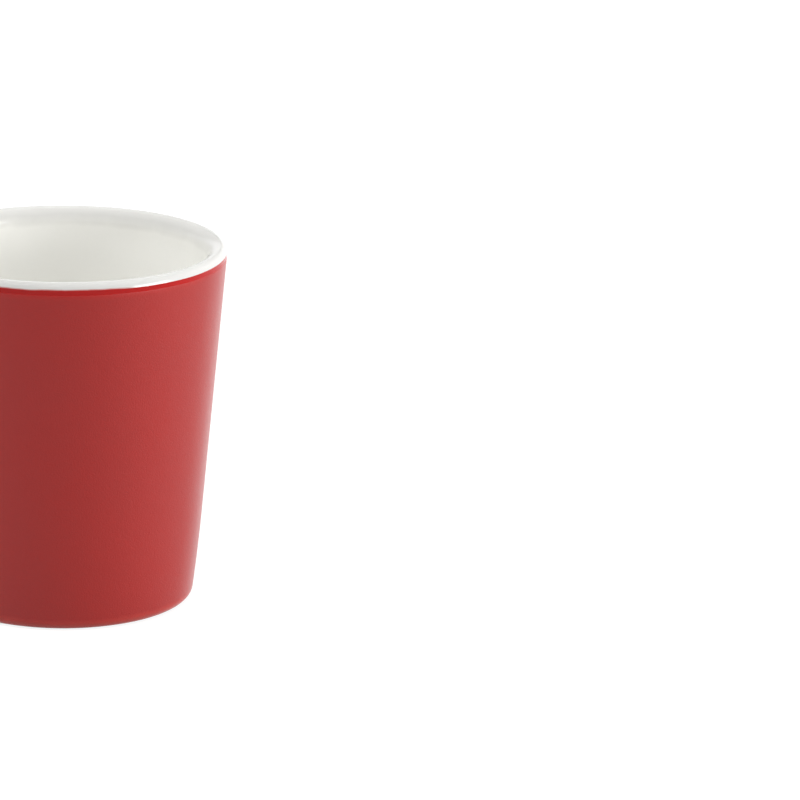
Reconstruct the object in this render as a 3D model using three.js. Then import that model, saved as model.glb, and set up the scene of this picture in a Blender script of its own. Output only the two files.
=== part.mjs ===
// A stoneware tumbler in millimetres, +Z up, with its axis on Z and its foot on z = 0.
// One fired clay vessel carries four coats of glaze: white inside and over the lip, satin red
// on the outer wall, a glossy red line where the red laps over the white, and red on the
// underside inside the foot ring. Coats and clay share their surfaces, so they lie face to face.
import * as THREE from 'three';

// Outer form
const HEIGHT = 90;
const RIM_RADIUS = 40; // the widest radius, at the shoulder just under the lip
const BASE_RADIUS = 32.5; // where the line of the straight wall would meet the table
const TUCK_HEIGHT = 22.5; // below this height the wall bends slowly inwards
const TUCK_DEPTH = 0.55; // how far it has bent in at the table
const CORNER_RADIUS = 2.5; // rounding from the wall to the foot

// Lip, a quarter ellipse on either side of the crest, each with its glaze on
const LIP_OUTER_WIDTH = 1.4;
const LIP_OUTER_DROP = 3;
const LIP_INNER_WIDTH = 3.3;
const LIP_INNER_DROP = 3.8;

// Inside and underside, with their glaze on
const WALL_AT_FLOOR = 5.2;
const FLOOR_THICKNESS = 5.5;
const FLOOR_FILLET = 10;
const RECESS_DEPTH = 1.8; // from the table up to the glazed underside
const RECESS_WALL_RUN = 1.2; // how far the recess wall leans in over the glazed underside
const FOOT_RING_WIDTH = 4.5; // flat width of bare clay that stands on the table
const FOOT_TRIM_ANGLE = Math.PI / 4; // trimmed edge between the foot and the red glaze
const GLAZE_EDGE_HEIGHT = 0.45; // where the red glaze stops above the table

// Glaze coats
const WHITE_UNDER_LINE = 0.25;
const LINE_COAT = 0.25;
const LINE_HEIGHT = 1.15; // height of the glossy red line above the shoulder
const GLAZE = WHITE_UNDER_LINE + LINE_COAT; // every coat is as thick as the lap, so the outside is flush

// Fineness of the facets
const ROUND_STEPS = 64;
const CORNER_STEPS = 4;
const TUCK_STEPS = 4;
const LIP_STEPS = 5;
const LINE_STEPS = 2;
const FILLET_STEPS = 6;

// Levels and radii that several pieces share
const QUARTER_TURN = Math.PI / 2;
const SHOULDER = HEIGHT - LIP_OUTER_DROP;
const INNER_SHOULDER = HEIGHT - LIP_INNER_DROP;
const CREST_RADIUS = RIM_RADIUS - LIP_OUTER_WIDTH;
const FLOOR = RECESS_DEPTH + FLOOR_THICKNESS;
const TAPER = (RIM_RADIUS - BASE_RADIUS) / SHOULDER;

const point = (radius, height) => new THREE.Vector2(radius, height);

// Points along part of an ellipse, with angles counted from the outward horizontal.
function arc(centre, width, drop, from, to, steps) {
  const curve = new THREE.EllipseCurve(centre.x, centre.y, width, drop, from, to, to < from);
  return curve.getPoints(steps);
}

// The outer wall's radius at a height, and how fast it widens there.
function bendShare(height) {
  return Math.max(0, TUCK_HEIGHT - height) / TUCK_HEIGHT;
}

function wallRadius(height) {
  return BASE_RADIUS + TAPER * height - TUCK_DEPTH * bendShare(height) ** 2;
}

function wallSpread(height) {
  return TAPER + (2 * TUCK_DEPTH * bendShare(height)) / TUCK_HEIGHT;
}

// The round corner touches the wall where both lean the same way.
const CORNER_LEAN = Math.atan(wallSpread(CORNER_RADIUS));
const CORNER_TOP = CORNER_RADIUS * (1 - Math.sin(CORNER_LEAN));
const CORNER_CENTRE = point(wallRadius(CORNER_TOP) - CORNER_RADIUS * Math.cos(CORNER_LEAN), CORNER_RADIUS);
const GLAZE_EDGE_ANGLE = Math.asin(1 - GLAZE_EDGE_HEIGHT / CORNER_RADIUS);

// The outside from the red glaze's lower edge up to the shoulder, sunk by depth.
function outerWall(depth) {
  const radius = CORNER_RADIUS - depth;
  const points = arc(CORNER_CENTRE, radius, radius, -GLAZE_EDGE_ANGLE, -CORNER_LEAN, CORNER_STEPS);
  for (let step = 1; step <= TUCK_STEPS; step++) {
    const height = CORNER_TOP + ((TUCK_HEIGHT - CORNER_TOP) * step) / TUCK_STEPS;
    points.push(point(wallRadius(height) - depth, height));
  }
  points.push(point(RIM_RADIUS - depth, SHOULDER));
  return points;
}

// The outside of the lip, sunk by depth, between two angles of its quarter ellipse.
function outerLip(depth, from, to, steps) {
  const centre = point(CREST_RADIUS, SHOULDER);
  return arc(centre, LIP_OUTER_WIDTH - depth, LIP_OUTER_DROP - depth, from, to, steps);
}

// The angle at which the sunk lip reaches the top of the red line.
function lineTopAngle(depth) {
  return Math.asin(LINE_HEIGHT / (LIP_OUTER_DROP - depth));
}

// The inside of the cup from the crest down to the middle of the floor, sunk by depth.
function inside(depth) {
  const lipCentre = point(CREST_RADIUS, INNER_SHOULDER);
  const lip = arc(lipCentre, LIP_INNER_WIDTH - depth, LIP_INNER_DROP - depth, QUARTER_TURN, Math.PI, LIP_STEPS);
  const topRadius = CREST_RADIUS - LIP_INNER_WIDTH;
  const floorRadius = BASE_RADIUS + TAPER * FLOOR - WALL_AT_FLOOR;
  const spread = (topRadius - floorRadius) / (INNER_SHOULDER - FLOOR);
  const lean = Math.atan(spread);
  const touchRadius = floorRadius + spread * FLOOR_FILLET;
  const filletCentre = point(touchRadius - FLOOR_FILLET / Math.cos(lean), FLOOR + FLOOR_FILLET);
  const radius = FLOOR_FILLET + depth;
  const fillet = arc(filletCentre, radius, radius, -lean, -QUARTER_TURN, FILLET_STEPS);
  return [...lip, ...fillet, point(0, FLOOR - depth)];
}

// The bare foot and the recess inside it, from the middle of the recess outwards.
const CLAY_EDGE = outerWall(GLAZE)[0];
const FOOT_OUTER = CLAY_EDGE.x - CLAY_EDGE.y / Math.tan(FOOT_TRIM_ANGLE);
const FOOT_INNER = FOOT_OUTER - FOOT_RING_WIDTH;
const RECESS_CEILING = RECESS_DEPTH + GLAZE;
const RECESS_CORNER = point(FOOT_INNER - RECESS_WALL_RUN, RECESS_CEILING);
const BASE_GLAZE_EDGE = point(
  FOOT_INNER - (RECESS_WALL_RUN * RECESS_DEPTH) / RECESS_CEILING,
  RECESS_DEPTH,
);

// Materials
const glaze = (color, roughness) => new THREE.MeshStandardMaterial({ color, roughness, metalness: 0 });
const BARE_STONEWARE = new THREE.MeshStandardMaterial({ color: 0xc6b395, roughness: 0.9, metalness: 0 });
const WHITE_GLOSS = glaze(0xe8e6df, 0.12);
const RED_SATIN = glaze(0x96262a, 0.42);
const RED_GLOSS = glaze(0x9c1c1e, 0.1);

// A solid turned about the axis. Its outline runs outwards, up and back in.
function turned(name, outline, material) {
  const apart = (here, index) => index === 0 || here.distanceTo(outline[index - 1]) > 1e-6;
  const mesh = new THREE.Mesh(new THREE.LatheGeometry(outline.filter(apart), ROUND_STEPS), material);
  mesh.name = name;
  return mesh;
}

function stonewareBody() {
  const foot = [
    point(0, RECESS_CEILING),
    RECESS_CORNER,
    BASE_GLAZE_EDGE,
    point(FOOT_INNER, 0),
    point(FOOT_OUTER, 0),
  ];
  const lip = outerLip(GLAZE, 0, QUARTER_TURN, LIP_STEPS);
  return turned('stoneware_body', [...foot, ...outerWall(GLAZE), ...lip, ...inside(GLAZE)], BARE_STONEWARE);
}

function linerGlaze() {
  const againstClay = [...outerLip(GLAZE, 0, QUARTER_TURN, LIP_STEPS), ...inside(GLAZE)].reverse();
  const underLine = outerLip(LINE_COAT, 0, lineTopAngle(LINE_COAT), LINE_STEPS);
  const bareLip = outerLip(0, lineTopAngle(0), QUARTER_TURN, LIP_STEPS);
  return turned('liner_glaze', [...againstClay, ...underLine, ...bareLip, ...inside(0)], WHITE_GLOSS);
}

function outerGlaze() {
  const outline = [...outerWall(0), ...outerWall(GLAZE).reverse()];
  return turned('outer_glaze', [...outline, outline[0]], RED_SATIN);
}

function rimLine() {
  const outline = [
    ...outerLip(0, 0, lineTopAngle(0), LINE_STEPS),
    ...outerLip(LINE_COAT, lineTopAngle(LINE_COAT), 0, LINE_STEPS),
  ];
  return turned('rim_line', [...outline, outline[0]], RED_GLOSS);
}

function baseGlaze() {
  const outline = [point(0, RECESS_DEPTH), BASE_GLAZE_EDGE, RECESS_CORNER, point(0, RECESS_CEILING)];
  return turned('base_glaze', outline, RED_SATIN);
}

const tumbler = new THREE.Group();
tumbler.rotation.x = QUARTER_TURN; // the lathe turns about Y, and the tumbler stands along Z
tumbler.add(stonewareBody(), linerGlaze(), outerGlaze(), rimLine(), baseGlaze());

export default tumbler;
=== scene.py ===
import math

import bpy
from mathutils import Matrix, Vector


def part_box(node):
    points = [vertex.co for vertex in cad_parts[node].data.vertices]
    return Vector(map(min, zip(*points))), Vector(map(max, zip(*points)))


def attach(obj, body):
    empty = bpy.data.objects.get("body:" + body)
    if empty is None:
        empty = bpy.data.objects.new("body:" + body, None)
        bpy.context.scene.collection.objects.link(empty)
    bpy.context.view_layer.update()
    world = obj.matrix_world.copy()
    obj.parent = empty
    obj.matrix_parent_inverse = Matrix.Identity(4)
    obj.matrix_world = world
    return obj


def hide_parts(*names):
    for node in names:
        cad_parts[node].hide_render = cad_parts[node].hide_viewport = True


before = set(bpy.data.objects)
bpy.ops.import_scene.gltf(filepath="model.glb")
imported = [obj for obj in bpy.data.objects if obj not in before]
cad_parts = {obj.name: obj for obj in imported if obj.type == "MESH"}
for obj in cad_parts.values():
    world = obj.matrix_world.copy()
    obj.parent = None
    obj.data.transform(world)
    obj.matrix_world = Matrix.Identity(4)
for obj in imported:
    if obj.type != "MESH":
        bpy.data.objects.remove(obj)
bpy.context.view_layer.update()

MM = 0.001

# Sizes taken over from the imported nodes
LINER_LOW, LINER_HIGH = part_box("liner_glaze")
RED_LOW, RED_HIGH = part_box("outer_glaze")
BASE_LOW, BASE_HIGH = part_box("base_glaze")
HEIGHT = LINER_HIGH.z
RIM_RADIUS = RED_HIGH.x
SHOULDER = RED_HIGH.z
LINE_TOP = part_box("rim_line")[1].z
RED_EDGE = RED_LOW.z
RECESS_DEPTH = BASE_LOW.z
RECESS_CEILING = BASE_HIGH.z
GLAZE = RECESS_CEILING - RECESS_DEPTH
FLOOR = LINER_LOW.z + GLAZE

# Sizes of the outline between them
BASE_RADIUS = 32.5 * MM
TUCK_HEIGHT = 22.5 * MM
TUCK_DEPTH = 0.55 * MM
CORNER_RADIUS = 2.5 * MM
LIP_OUTER_WIDTH = 1.4 * MM
LIP_INNER_WIDTH = 3.3 * MM
LIP_INNER_DROP = 3.8 * MM
WALL_AT_FLOOR = 5.2 * MM
FLOOR_FILLET = 10 * MM
RECESS_WALL_RUN = 1.2 * MM
FOOT_RING_WIDTH = 4.5 * MM
LINE_COAT = 0.25 * MM
LINE_SINK = 0.09 * MM  # how far the glossy line lies below the edge of the satin coat
COAT_EDGE_HEIGHT = 0.35 * MM  # rounded upper edge of the satin coat
COAT_EDGE_START = 0.12  # angle at which that rounding leaves the wall, in radians
COAT_SETTLE_HEIGHT = 1.0 * MM  # the satin coat thins over this distance below its upper edge
COAT_SETTLE_DEPTH = 0.035 * MM
FOOT_EDGE_RADIUS = 0.18 * MM  # sponged edges of the foot ring
LINE_FEATHER_FROM = 15.5 * MM  # on this side of the axis the line feathers up into the white
LINE_FEATHER_TO = 20.0 * MM

# Steps along the curves of the outline, and round the cup
CORNER_STEPS = 12
TUCK_STEPS = 16
WALL_STEPS = 24
CLAY_LIP_STEPS = 12
LIP_STEPS = 18
UNDER_LINE_STEPS = 6
LINE_STEPS = 8
INNER_WALL_STEPS = 16
FILLET_STEPS = 20
FLOOR_STEPS = 6
COAT_EDGE_STEPS = 6
FOOT_EDGE_STEPS = 4
ROUND_STEPS = 256

MERGE_DISTANCE = 0.001 * MM
SMOOTH_BELOW = math.radians(32)
QUARTER_TURN = math.pi / 2

# Fineness of the noise patterns, in spots per metre
GRAIN_SCALE = 2600
PEEL_SCALE = 260
BROAD_CLOUD_SCALE = 42
CLOSE_CLOUD_SCALE = 900
WAVER_SCALE = 160
CLAY_SPECK_SCALE = 1800

# Colours, as linear values
SATIN_DARKER = (0.402, 0.0120, 0.0084)
SATIN_LIGHTER = (0.434, 0.0135, 0.0094)
# Lighter red just under the line: painted light, as if the top of the satin coat caught more light from
# above
SATIN_PAINTED_LIGHT_UNDER_LINE = (0.480, 0.0115, 0.0080)
# Lighter red at the foot: thinner glaze there, and painted light standing in for light bounced up from
# the floor
SATIN_THIN_AND_PAINTED_LIGHT_AT_FOOT = (0.60, 0.046, 0.030)
LINE_DARKER = (0.480, 0.0060, 0.0045)
LINE_LIGHTER = (0.540, 0.0080, 0.0065)
FEATHERED_RED = (0.500, 0.0070, 0.0055)
WHITE_DARKER = (0.846, 0.841, 0.803)
WHITE_LIGHTER = (0.866, 0.861, 0.826)
# Lighter white deeper inside: painted light that lifts the shade down in the cup
WHITE_PAINTED_LIGHT_DEEPER_INSIDE = (0.866, 0.861, 0.824)
# Darker white on the crest and inner lip: painted shade against the light from above
WHITE_PAINTED_SHADE_ON_LIP = (0.655, 0.650, 0.627)
# Darker white outside the lip: painted shade that tones down the light falling on it
WHITE_PAINTED_SHADE_OUTSIDE_LIP = (0.785, 0.780, 0.755)
WHITE_POOLED = (0.800, 0.807, 0.755)
CLAY_DARKER = (0.46, 0.35, 0.235)
CLAY_LIGHTER = (0.56, 0.45, 0.32)
CLAY_SPECK = (0.16, 0.10, 0.06)
WHITE_LIGHT = (1, 1, 1, 1)

# Studio, in metres
FLOOR_GAP = 0.05 * MM  # keeps the floor and the foot from lying in one plane
STUDIO_RADIUS = 6.0
STUDIO_STEPS = 96
BACKDROP_HEIGHT = 1.6
ROOM_LIGHT = 0.30

# Azimuth and elevation in degrees, distance, width and height in metres, watts, seen in reflections
SOFT_BOXES = {
    "key_box": (67, 12, 1.0, 0.50, 0.18, 2.9, True),
    "right_fill": (95, 10, 1.1, 0.6, 0.3, 3.6, False),
    "right_top_fill": (80, 35, 1.1, 0.6, 0.6, 2.2, False),
    "front_top_fill": (40, 55, 1.2, 0.9, 0.7, 4.1, False),
    "left_fill": (-70, 25, 1.1, 0.6, 0.6, 2.8, False),
    "left_top_fill": (-90, 55, 1.2, 0.9, 0.7, 6.8, False),
    "back_fill": (180, 40, 1.2, 0.9, 0.6, 8.0, False),
}

# Camera at the photograph's place
CAMERA_PLACE = (0.083354, -1.194283, 0.392804)
CAMERA_TURN = (74.04791, -1.11342, 0.31824)  # degrees
LENS_LENGTH, SENSOR_WIDTH = 225, 36  # millimetres, as Blender counts them
NEAREST, FARTHEST = 0.05, 20

# Levels and radii that follow from them
CREST_RADIUS = RIM_RADIUS - LIP_OUTER_WIDTH
LIP_OUTER_DROP = HEIGHT - SHOULDER
INNER_SHOULDER = HEIGHT - LIP_INNER_DROP
TAPER = (RIM_RADIUS - BASE_RADIUS) / SHOULDER


# The tumbler's outline

def point(radius, height):
    return Vector((radius, height))


def arc(centre, width, drop, start, end, steps):
    """Points along part of an ellipse, with angles counted from the outward horizontal."""
    angles = [start + (end - start) * step / steps for step in range(steps + 1)]
    return [point(centre.x + width * math.cos(a), centre.y + drop * math.sin(a)) for a in angles]


def bend_share(height):
    return max(0.0, TUCK_HEIGHT - height) / TUCK_HEIGHT


def wall_radius(height):
    return BASE_RADIUS + TAPER * height - TUCK_DEPTH * bend_share(height) ** 2


def wall_spread(height):
    return TAPER + 2 * TUCK_DEPTH * bend_share(height) / TUCK_HEIGHT


CORNER_LEAN = math.atan(wall_spread(CORNER_RADIUS))
CORNER_TOP = CORNER_RADIUS * (1 - math.sin(CORNER_LEAN))
CORNER_CENTRE = point(wall_radius(CORNER_TOP) - CORNER_RADIUS * math.cos(CORNER_LEAN), CORNER_RADIUS)
RED_EDGE_ANGLE = math.asin(1 - RED_EDGE / CORNER_RADIUS)


def outer_wall(depth, top):
    """The outside from the red coat's lower edge up to a height, sunk by depth."""
    radius = CORNER_RADIUS - depth
    points = arc(CORNER_CENTRE, radius, radius, -RED_EDGE_ANGLE, -CORNER_LEAN, CORNER_STEPS)
    for low, high, steps in ((CORNER_TOP, TUCK_HEIGHT, TUCK_STEPS), (TUCK_HEIGHT, top, WALL_STEPS)):
        for step in range(1, steps + 1):
            height = low + (high - low) * step / steps
            points.append(point(wall_radius(height) - depth, height))
    return points


def outer_lip(depth, start, end, steps):
    centre = point(CREST_RADIUS, SHOULDER)
    return arc(centre, LIP_OUTER_WIDTH - depth, LIP_OUTER_DROP - depth, start, end, steps)


def line_top_angle(depth):
    return math.asin((LINE_TOP - SHOULDER) / (LIP_OUTER_DROP - depth))


def inside(depth):
    """From the crest of the lip down to the middle of the floor, sunk by depth."""
    lip_centre = point(CREST_RADIUS, INNER_SHOULDER)
    width, drop = LIP_INNER_WIDTH - depth, LIP_INNER_DROP - depth
    lip = arc(lip_centre, width, drop, QUARTER_TURN, math.pi, LIP_STEPS)
    top_radius = CREST_RADIUS - LIP_INNER_WIDTH
    floor_radius = BASE_RADIUS + TAPER * FLOOR - WALL_AT_FLOOR
    spread = (top_radius - floor_radius) / (INNER_SHOULDER - FLOOR)
    lean = math.atan(spread)
    touch_radius = floor_radius + spread * FLOOR_FILLET
    fillet_centre = point(touch_radius - FLOOR_FILLET / math.cos(lean), FLOOR + FLOOR_FILLET)
    radius = FLOOR_FILLET + depth
    fillet = arc(fillet_centre, radius, radius, -lean, -QUARTER_TURN, FILLET_STEPS)
    wall = [lip[-1].lerp(fillet[0], step / INNER_WALL_STEPS) for step in range(1, INNER_WALL_STEPS)]
    middle = point(0, FLOOR - depth)
    level = [fillet[-1].lerp(middle, step / FLOOR_STEPS) for step in range(1, FLOOR_STEPS + 1)]
    return lip + wall + fillet + level


def rounded(before, corner, after):
    """Points that take the sharpness off one corner of the foot ring."""
    start = corner + (before - corner).normalized() * FOOT_EDGE_RADIUS
    end = corner + (after - corner).normalized() * FOOT_EDGE_RADIUS
    shares = [step / FOOT_EDGE_STEPS for step in range(FOOT_EDGE_STEPS + 1)]
    return [start.lerp(corner, share).lerp(corner.lerp(end, share), share) for share in shares]


CLAY_EDGE = outer_wall(GLAZE, SHOULDER)[0]
FOOT_OUTER = CLAY_EDGE.x - CLAY_EDGE.y
FOOT_INNER = FOOT_OUTER - FOOT_RING_WIDTH
RECESS_CORNER = point(FOOT_INNER - RECESS_WALL_RUN, RECESS_CEILING)
BASE_GLAZE_EDGE = point(FOOT_INNER - RECESS_WALL_RUN * RECESS_DEPTH / RECESS_CEILING, RECESS_DEPTH)


# Turning an outline into a solid

def turned(name, node, outline):
    """Draws an outline edge by edge from one point, and spins it round the axis."""
    bpy.ops.object.select_all(action="DESELECT")
    first = outline[0]
    bpy.ops.mesh.primitive_plane_add(size=MM, location=(first.x, 0, first.y))
    piece = bpy.context.object
    piece.name = name
    piece.data.name = name
    bpy.ops.object.mode_set(mode="EDIT")
    bpy.ops.mesh.select_all(action="SELECT")
    bpy.ops.mesh.merge(type="CENTER")
    for here, there in zip(outline, outline[1:]):
        step = there - here
        bpy.ops.mesh.extrude_region_move(TRANSFORM_OT_translate={"value": (step.x, 0, step.y)})
    bpy.ops.mesh.select_all(action="SELECT")
    bpy.ops.mesh.spin(steps=ROUND_STEPS, angle=math.tau, center=(0, 0, 0), axis=(0, 0, 1))
    bpy.ops.mesh.select_all(action="SELECT")
    bpy.ops.mesh.remove_doubles(threshold=MERGE_DISTANCE)
    bpy.ops.mesh.normals_make_consistent(inside=False)
    bpy.ops.object.mode_set(mode="OBJECT")
    bpy.ops.object.transform_apply(location=True, rotation=True, scale=True)
    bpy.ops.object.shade_smooth_by_angle(angle=SMOOTH_BELOW)
    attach(piece, "root")
    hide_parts(node)
    return piece


def clay_vessel():
    ring_in, ring_out = point(FOOT_INNER, 0), point(FOOT_OUTER, 0)
    foot = [point(0, RECESS_CEILING), RECESS_CORNER, BASE_GLAZE_EDGE]
    foot += rounded(BASE_GLAZE_EDGE, ring_in, ring_out)
    foot += rounded(ring_in, ring_out, CLAY_EDGE)
    lip = outer_lip(GLAZE, 0, QUARTER_TURN, CLAY_LIP_STEPS)[1:]
    outline = foot + outer_wall(GLAZE, SHOULDER) + lip + inside(GLAZE)[1:]
    return turned("clay_vessel", "stoneware_body", outline)


def white_liner():
    against_clay = (outer_lip(GLAZE, 0, QUARTER_TURN, CLAY_LIP_STEPS) + inside(GLAZE)[1:])[::-1]
    under_line = outer_lip(LINE_COAT, 0, line_top_angle(LINE_COAT), UNDER_LINE_STEPS)
    bare_lip = outer_lip(0, line_top_angle(0), QUARTER_TURN, LIP_STEPS)
    outline = against_clay + under_line + bare_lip + inside(0)[1:]
    return turned("white_liner", "liner_glaze", outline)


def satin_coat():
    settle = SHOULDER - COAT_SETTLE_HEIGHT
    outside = outer_wall(0, settle)
    for step in range(1, COAT_EDGE_STEPS + 1):
        share = step / COAT_EDGE_STEPS
        height = settle + (COAT_SETTLE_HEIGHT - COAT_EDGE_HEIGHT) * share
        outside.append(point(wall_radius(height) - COAT_SETTLE_DEPTH * share ** 2, height))
    width = LINE_SINK - COAT_SETTLE_DEPTH
    centre = point(RIM_RADIUS - LINE_SINK, SHOULDER - COAT_EDGE_HEIGHT)
    outside += arc(centre, width, COAT_EDGE_HEIGHT, COAT_EDGE_START, QUARTER_TURN, COAT_EDGE_STEPS)
    outline = outside + outer_wall(GLAZE, SHOULDER)[::-1]
    outline.append(outline[0])
    return turned("satin_red_coat", "outer_glaze", outline)


def glossy_line():
    top = line_top_angle(0)
    face = []
    for step in range(LINE_STEPS + 1):
        share = step / LINE_STEPS
        sink = LINE_SINK * (1 - share ** 2)
        edge = outer_lip(0, 0, top * share, 1)[-1]
        face.append(point(edge.x - sink, edge.y))
    back = outer_lip(LINE_COAT, line_top_angle(LINE_COAT), 0, UNDER_LINE_STEPS)
    outline = face + back
    outline.append(outline[0])
    return turned("glossy_rim_line", "rim_line", outline)


def base_coat():
    outline = [point(0, RECESS_DEPTH), BASE_GLAZE_EDGE, RECESS_CORNER, point(0, RECESS_CEILING)]
    return turned("red_base_coat", "base_glaze", outline)


# Effects that several finishes share

def new_group(name, inputs, outputs):
    group = bpy.data.node_groups.new(name, "ShaderNodeTree")
    for title, default in inputs:
        socket = group.interface.new_socket(title, in_out="INPUT", socket_type="NodeSocketFloat")
        socket.default_value = default
    for title in outputs:
        group.interface.new_socket(title, in_out="OUTPUT", socket_type="NodeSocketFloat")
    return group, group.nodes.new("NodeGroupInput"), group.nodes.new("NodeGroupOutput")


def noise(tree, position, scale, detail=2.0, roughness=0.5):
    node = tree.nodes.new("ShaderNodeTexNoise")
    node.inputs["Scale"].default_value = scale
    node.inputs["Detail"].default_value = detail
    node.inputs["Roughness"].default_value = roughness
    tree.links.new(position, node.inputs["Vector"])
    return node.outputs["Fac"]


def object_position(tree):
    return tree.nodes.new("ShaderNodeTexCoord").outputs["Object"]


def ranged(tree, value, low, high, to_low=0.0, to_high=1.0):
    node = tree.nodes.new("ShaderNodeMapRange")
    node.inputs["From Min"].default_value = low
    node.inputs["From Max"].default_value = high
    node.inputs["To Min"].default_value = to_low
    node.inputs["To Max"].default_value = to_high
    tree.links.new(value, node.inputs["Value"])
    return node.outputs["Result"]


def combined(tree, how, first, second):
    node = tree.nodes.new("ShaderNodeMath")
    node.operation = how
    for socket, value in zip(node.inputs, (first, second)):
        if isinstance(value, (int, float)):
            socket.default_value = value
        else:
            tree.links.new(value, socket)
    return node.outputs["Value"]


def glaze_skin_group():
    """Grain, slow unevenness and soft cloudiness of a fired glaze."""
    group, given, out = new_group("glaze_skin", [("Grain", 0.5), ("Peel", 0.5)], ["Height", "Cloud"])
    position = object_position(group)
    grain = noise(group, position, GRAIN_SCALE, 3.0, 0.6)
    peel = noise(group, position, PEEL_SCALE, 2.0, 0.45)
    fine = combined(group, "MULTIPLY", grain, given.outputs["Grain"])
    slow = combined(group, "MULTIPLY", peel, given.outputs["Peel"])
    group.links.new(combined(group, "ADD", fine, slow), out.inputs["Height"])
    broad = combined(group, "MULTIPLY", noise(group, position, BROAD_CLOUD_SCALE, 3.0), 0.6)
    close = combined(group, "MULTIPLY", noise(group, position, CLOSE_CLOUD_SCALE, 2.0), 0.4)
    cloud = combined(group, "ADD", broad, close)
    group.links.new(ranged(group, cloud, 0.3, 0.7), out.inputs["Cloud"])
    return group


def height_band_group():
    """1 at and below a height above the table, fading to 0 over a soft edge that wavers a little."""
    inputs = [("Level", 1 * MM), ("Fade", 1 * MM), ("Waver", 0.1 * MM)]
    group, given, out = new_group("height_band", inputs, ["Mask"])
    position = object_position(group)
    apart = group.nodes.new("ShaderNodeSeparateXYZ")
    group.links.new(position, apart.inputs["Vector"])
    waver = ranged(group, noise(group, position, WAVER_SCALE, 3.0), 0.3, 0.7, -1.0, 1.0)
    shift = combined(group, "MULTIPLY", waver, given.outputs["Waver"])
    height = combined(group, "ADD", apart.outputs["Z"], shift)
    above = combined(group, "SUBTRACT", height, given.outputs["Level"])
    share = combined(group, "DIVIDE", above, given.outputs["Fade"])
    group.links.new(ranged(group, share, 0.0, 1.0, 1.0, 0.0), out.inputs["Mask"])
    return group


def beyond_radius_group():
    """0 up to a distance from the cup's axis, rising to 1 over a soft edge."""
    group, given, out = new_group("beyond_radius", [("Radius", 30 * MM), ("Fade", 1 * MM)], ["Mask"])
    sideways = group.nodes.new("ShaderNodeVectorMath")
    sideways.operation = "MULTIPLY"
    group.links.new(object_position(group), sideways.inputs[0])
    sideways.inputs[1].default_value = (1, 1, 0)
    length = group.nodes.new("ShaderNodeVectorMath")
    length.operation = "LENGTH"
    group.links.new(sideways.outputs["Vector"], length.inputs[0])
    past = combined(group, "SUBTRACT", length.outputs["Value"], given.outputs["Radius"])
    share = combined(group, "DIVIDE", past, given.outputs["Fade"])
    group.links.new(ranged(group, share, 0.0, 1.0), out.inputs["Mask"])
    return group


GLAZE_SKIN = glaze_skin_group()
HEIGHT_BAND = height_band_group()
BEYOND_RADIUS = beyond_radius_group()


# Finishes

class Finish:
    """One material under construction: its tree and its main shader."""

    def __init__(self, name):
        self.material = bpy.data.materials.new(name)
        self.material.use_nodes = True
        self.tree = self.material.node_tree
        self.shader = self.tree.nodes["Principled BSDF"]

    def group(self, group, **values):
        node = self.tree.nodes.new("ShaderNodeGroup")
        node.node_tree = group
        for title, value in values.items():
            node.inputs[title].default_value = value
        return node.outputs

    def mixed(self, share, first, second):
        node = self.tree.nodes.new("ShaderNodeMix")
        node.data_type = "RGBA"
        sockets = [s for s in node.inputs if s.type == "RGBA"]
        for socket, value in zip(sockets, (first, second)):
            if isinstance(value, tuple):
                socket.default_value = (*value, 1)
            else:
                self.tree.links.new(value, socket)
        self.tree.links.new(share, node.inputs["Factor"])
        return next(s for s in node.outputs if s.type == "RGBA")

    def feed(self, value, socket):
        self.tree.links.new(value, self.shader.inputs[socket])

    def roughness(self, share, smoother, duller):
        self.feed(ranged(self.tree, share, 0, 1, smoother, duller), "Roughness")

    def reflection(self, level):
        self.shader.inputs["Specular IOR Level"].default_value = level

    def bump(self, height, depth):
        node = self.tree.nodes.new("ShaderNodeBump")
        node.inputs["Strength"].default_value = 1.0
        node.inputs["Distance"].default_value = depth
        self.tree.links.new(height, node.inputs["Height"])
        self.tree.links.new(node.outputs["Normal"], self.shader.inputs["Normal"])


def satin_red():
    finish = Finish("satin_red_glaze")
    skin = finish.group(GLAZE_SKIN, Grain=1.0, Peel=0.6)
    # Band at the foot: thinner glaze plus painted bounce light from the floor
    low_edge = finish.group(HEIGHT_BAND, Level=RED_EDGE + 0.35 * MM, Fade=2.2 * MM, Waver=0.3 * MM)
    # Band under the line, lightened with painted light from above
    below_line = finish.group(HEIGHT_BAND, Level=SHOULDER - 1.4 * MM, Fade=1.3 * MM, Waver=0.2 * MM)
    body = finish.mixed(skin["Cloud"], SATIN_DARKER, SATIN_LIGHTER)
    with_painted_light_under_line = finish.mixed(below_line["Mask"], SATIN_PAINTED_LIGHT_UNDER_LINE, body)
    finish.feed(finish.mixed(low_edge["Mask"], with_painted_light_under_line, SATIN_THIN_AND_PAINTED_LIGHT_AT_FOOT), "Base Color")
    finish.roughness(skin["Cloud"], 0.41, 0.47)
    finish.reflection(0.55)
    # A thin coat shows only where the wall is seen at a flat angle
    grazing = finish.tree.nodes.new("ShaderNodeLayerWeight").outputs["Facing"]
    finish.feed(ranged(finish.tree, grazing, 0.55, 0.85, 0.0, 0.48), "Coat Weight")
    finish.shader.inputs["Coat Roughness"].default_value = 0.25
    finish.bump(skin["Height"], 0.08 * MM)
    return finish.material


def gloss_red():
    finish = Finish("glossy_red_glaze")
    skin = finish.group(GLAZE_SKIN, Grain=0.05, Peel=0.5)
    finish.feed(finish.mixed(skin["Cloud"], LINE_DARKER, LINE_LIGHTER), "Base Color")
    finish.roughness(skin["Cloud"], 0.08, 0.13)
    finish.reflection(0.20)
    finish.bump(skin["Height"], 0.006 * MM)
    return finish.material


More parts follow.
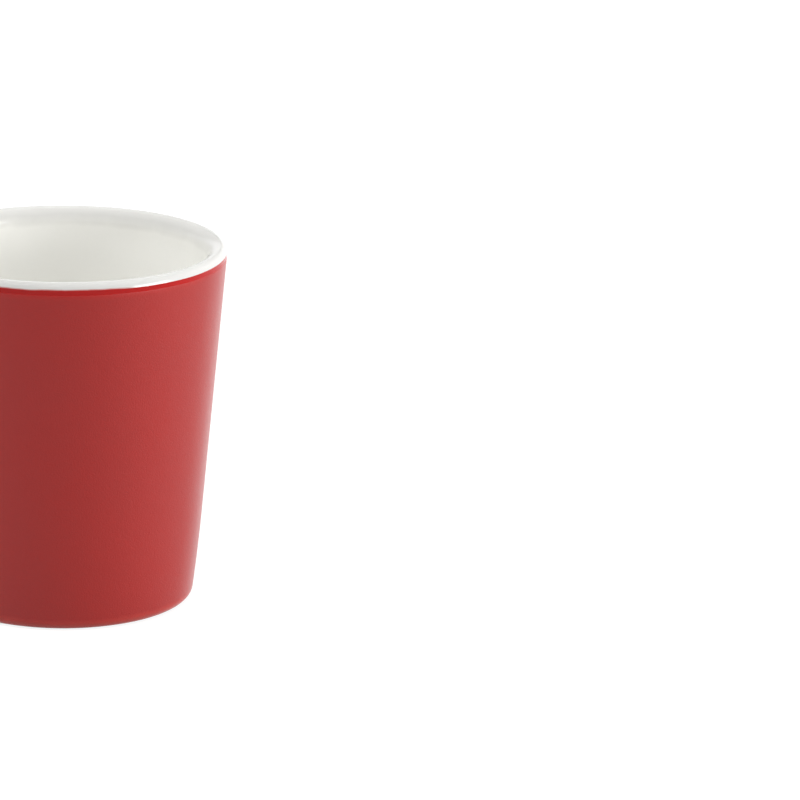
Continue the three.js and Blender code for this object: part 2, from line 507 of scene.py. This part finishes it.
def feathered_red(finish, outside_lip):
    """1 where the line feathers up into the white, outside the lip and on one side of the cup."""
    tree = finish.tree
    above_line = finish.group(HEIGHT_BAND, Level=LINE_TOP + 0.05 * MM, Fade=0.4 * MM, Waver=0.1 * MM)
    apart = tree.nodes.new("ShaderNodeSeparateXYZ")
    tree.links.new(object_position(tree), apart.inputs["Vector"])
    side = ranged(tree, apart.outputs["X"], LINE_FEATHER_FROM, LINE_FEATHER_TO, 1.0, 0.0)
    return combined(tree, "MULTIPLY", combined(tree, "MULTIPLY", above_line["Mask"], side), outside_lip)


def gloss_white():
    finish = Finish("glossy_white_glaze")
    skin = finish.group(GLAZE_SKIN, Grain=0.05, Peel=1.0)
    pooled = finish.group(HEIGHT_BAND, Level=FLOOR + 4.5 * MM, Fade=10 * MM, Waver=1 * MM)
    # Deeper inside the cup, lightened with painted light
    well_below_lip = finish.group(HEIGHT_BAND, Level=HEIGHT - 20 * MM, Fade=16 * MM, Waver=1 * MM)
    # Top of the lip, darkened with painted shade
    below_lip = finish.group(HEIGHT_BAND, Level=HEIGHT - 4.5 * MM, Fade=3.0 * MM, Waver=0.3 * MM)
    outside_lip = finish.group(BEYOND_RADIUS, Radius=CREST_RADIUS + 0.3 * MM, Fade=0.6 * MM)["Mask"]
    body = finish.mixed(skin["Cloud"], WHITE_DARKER, WHITE_LIGHTER)
    painted_light_deeper_inside = finish.mixed(well_below_lip["Mask"], body, WHITE_PAINTED_LIGHT_DEEPER_INSIDE)
    painted_shade_on_lip = finish.mixed(below_lip["Mask"], WHITE_PAINTED_SHADE_ON_LIP, painted_light_deeper_inside)
    # Outside of the lip gets painted shade
    lip = finish.mixed(outside_lip, painted_shade_on_lip, WHITE_PAINTED_SHADE_OUTSIDE_LIP)
    white = finish.mixed(pooled["Mask"], lip, WHITE_POOLED)
    feathered = feathered_red(finish, outside_lip)
    finish.feed(finish.mixed(feathered, white, FEATHERED_RED), "Base Color")
    finish.roughness(skin["Cloud"], 0.05, 0.09)
    finish.reflection(0.44)
    finish.bump(skin["Height"], 0.008 * MM)
    return finish.material


def bare_clay():
    finish = Finish("bare_stoneware_clay")
    tree = finish.tree
    position = object_position(tree)
    skin = finish.group(GLAZE_SKIN, Grain=1.0, Peel=1.0)
    body = finish.mixed(skin["Cloud"], CLAY_DARKER, CLAY_LIGHTER)
    specks = ranged(tree, noise(tree, position, CLAY_SPECK_SCALE, 2.0), 0.66, 0.72)
    finish.feed(finish.mixed(specks, body, CLAY_SPECK), "Base Color")
    finish.roughness(skin["Cloud"], 0.82, 0.95)
    finish.bump(skin["Height"], 0.03 * MM)
    return finish.material


SATIN_RED = satin_red()
for make, material in (
    (clay_vessel, bare_clay()),
    (white_liner, gloss_white()),
    (satin_coat, SATIN_RED),
    (glossy_line, gloss_red()),
    (base_coat, SATIN_RED),
):
    make().data.materials.append(material)


# Studio: a pale floor in a dim room, and soft boxes

def seen_or_mirrored(tree):
    """1 for rays that come straight from the camera or by way of a mirror-like or clear surface."""
    path = tree.nodes.new("ShaderNodeLightPath")
    first = combined(tree, "MAXIMUM", path.outputs["Is Camera Ray"], path.outputs["Is Glossy Ray"])
    return combined(tree, "MAXIMUM", first, path.outputs["Is Transmission Ray"])


def dim_room(strength):
    world = bpy.data.worlds.new("dim_room")
    bpy.context.scene.world = world
    world.use_nodes = True
    lit = world.node_tree.nodes["Background"]
    lit.inputs["Color"].default_value = WHITE_LIGHT
    lit.inputs["Strength"].default_value = strength


def pale_material(name, lit_share, seen_share, glow):
    """Paper that shows as white, throws less light back than it shows, and is clear from behind."""
    material = bpy.data.materials.new(name)
    material.use_nodes = True
    tree = material.node_tree
    paper = tree.nodes["Principled BSDF"]
    paper.inputs["Roughness"].default_value = 0.9
    paper.inputs["Specular IOR Level"].default_value = 0.0
    seen = seen_or_mirrored(tree)
    share = ranged(tree, seen, 0, 1, lit_share, seen_share)
    tint = tree.nodes.new("ShaderNodeCombineColor")
    for socket in tint.inputs:
        tree.links.new(share, socket)
    tree.links.new(tint.outputs["Color"], paper.inputs["Base Color"])
    paper.inputs["Emission Color"].default_value = WHITE_LIGHT
    tree.links.new(ranged(tree, seen, 0, 1, 0.0, glow), paper.inputs["Emission Strength"])
    from_behind = tree.nodes.new("ShaderNodeNewGeometry").outputs["Backfacing"]
    tree.links.new(ranged(tree, from_behind, 0, 1, 1.0, 0.0), paper.inputs["Alpha"])
    return material


def pale_floor():
    bpy.ops.object.select_all(action="DESELECT")
    bpy.ops.mesh.primitive_circle_add(
        vertices=STUDIO_STEPS, radius=STUDIO_RADIUS, fill_type="NGON", location=(0, 0, -FLOOR_GAP))
    floor = bpy.context.object
    floor.name = "pale_floor"
    floor.data.materials.append(pale_material("pale_floor", lit_share=0.30, seen_share=0.22, glow=0.87))


def pale_backdrop():
    """A low round wall at the rim of the floor, facing inward."""
    bpy.ops.object.select_all(action="DESELECT")
    bpy.ops.mesh.primitive_cylinder_add(
        vertices=STUDIO_STEPS, radius=STUDIO_RADIUS, depth=BACKDROP_HEIGHT, end_fill_type="NOTHING",
        location=(0, 0, BACKDROP_HEIGHT / 2))
    backdrop = bpy.context.object
    backdrop.name = "pale_backdrop"
    bpy.ops.object.mode_set(mode="EDIT")
    bpy.ops.mesh.select_all(action="SELECT")
    bpy.ops.mesh.flip_normals()
    bpy.ops.object.mode_set(mode="OBJECT")
    paper = pale_material("pale_backdrop", lit_share=0.30, seen_share=0.10, glow=0.94)
    backdrop.data.materials.append(paper)


def soft_box(name, azimuth, elevation, distance, width, height, power, mirrored):
    """An area lamp aimed at the tumbler; azimuth 0 is in front and 90 on the right."""
    turn, rise = math.radians(azimuth), math.radians(elevation)
    away = Vector((math.sin(turn) * math.cos(rise), -math.cos(turn) * math.cos(rise), math.sin(rise)))
    lamp = bpy.data.lights.new(name, "AREA")
    lamp.shape = "RECTANGLE"
    lamp.size, lamp.size_y, lamp.energy = width, height, power
    box = bpy.data.objects.new(name, lamp)
    bpy.context.scene.collection.objects.link(box)
    box.location = Vector((0, 0, HEIGHT / 2)) + away * distance
    box.rotation_euler = away.to_track_quat("Z", "Y").to_euler()
    box.visible_glossy = mirrored


def photo_camera():
    data = bpy.data.cameras.new("photo_camera")
    data.lens, data.sensor_width = LENS_LENGTH, SENSOR_WIDTH
    data.clip_start, data.clip_end = NEAREST, FARTHEST
    camera = bpy.data.objects.new("photo_camera", data)
    bpy.context.scene.collection.objects.link(camera)
    camera.location = CAMERA_PLACE
    camera.rotation_euler = [math.radians(angle) for angle in CAMERA_TURN]
    bpy.context.scene.camera = camera


dim_room(ROOM_LIGHT)
pale_floor()
pale_backdrop()
for name, values in SOFT_BOXES.items():
    soft_box(name, *values)
photo_camera()
bpy.context.scene.view_settings.view_transform = "Standard"
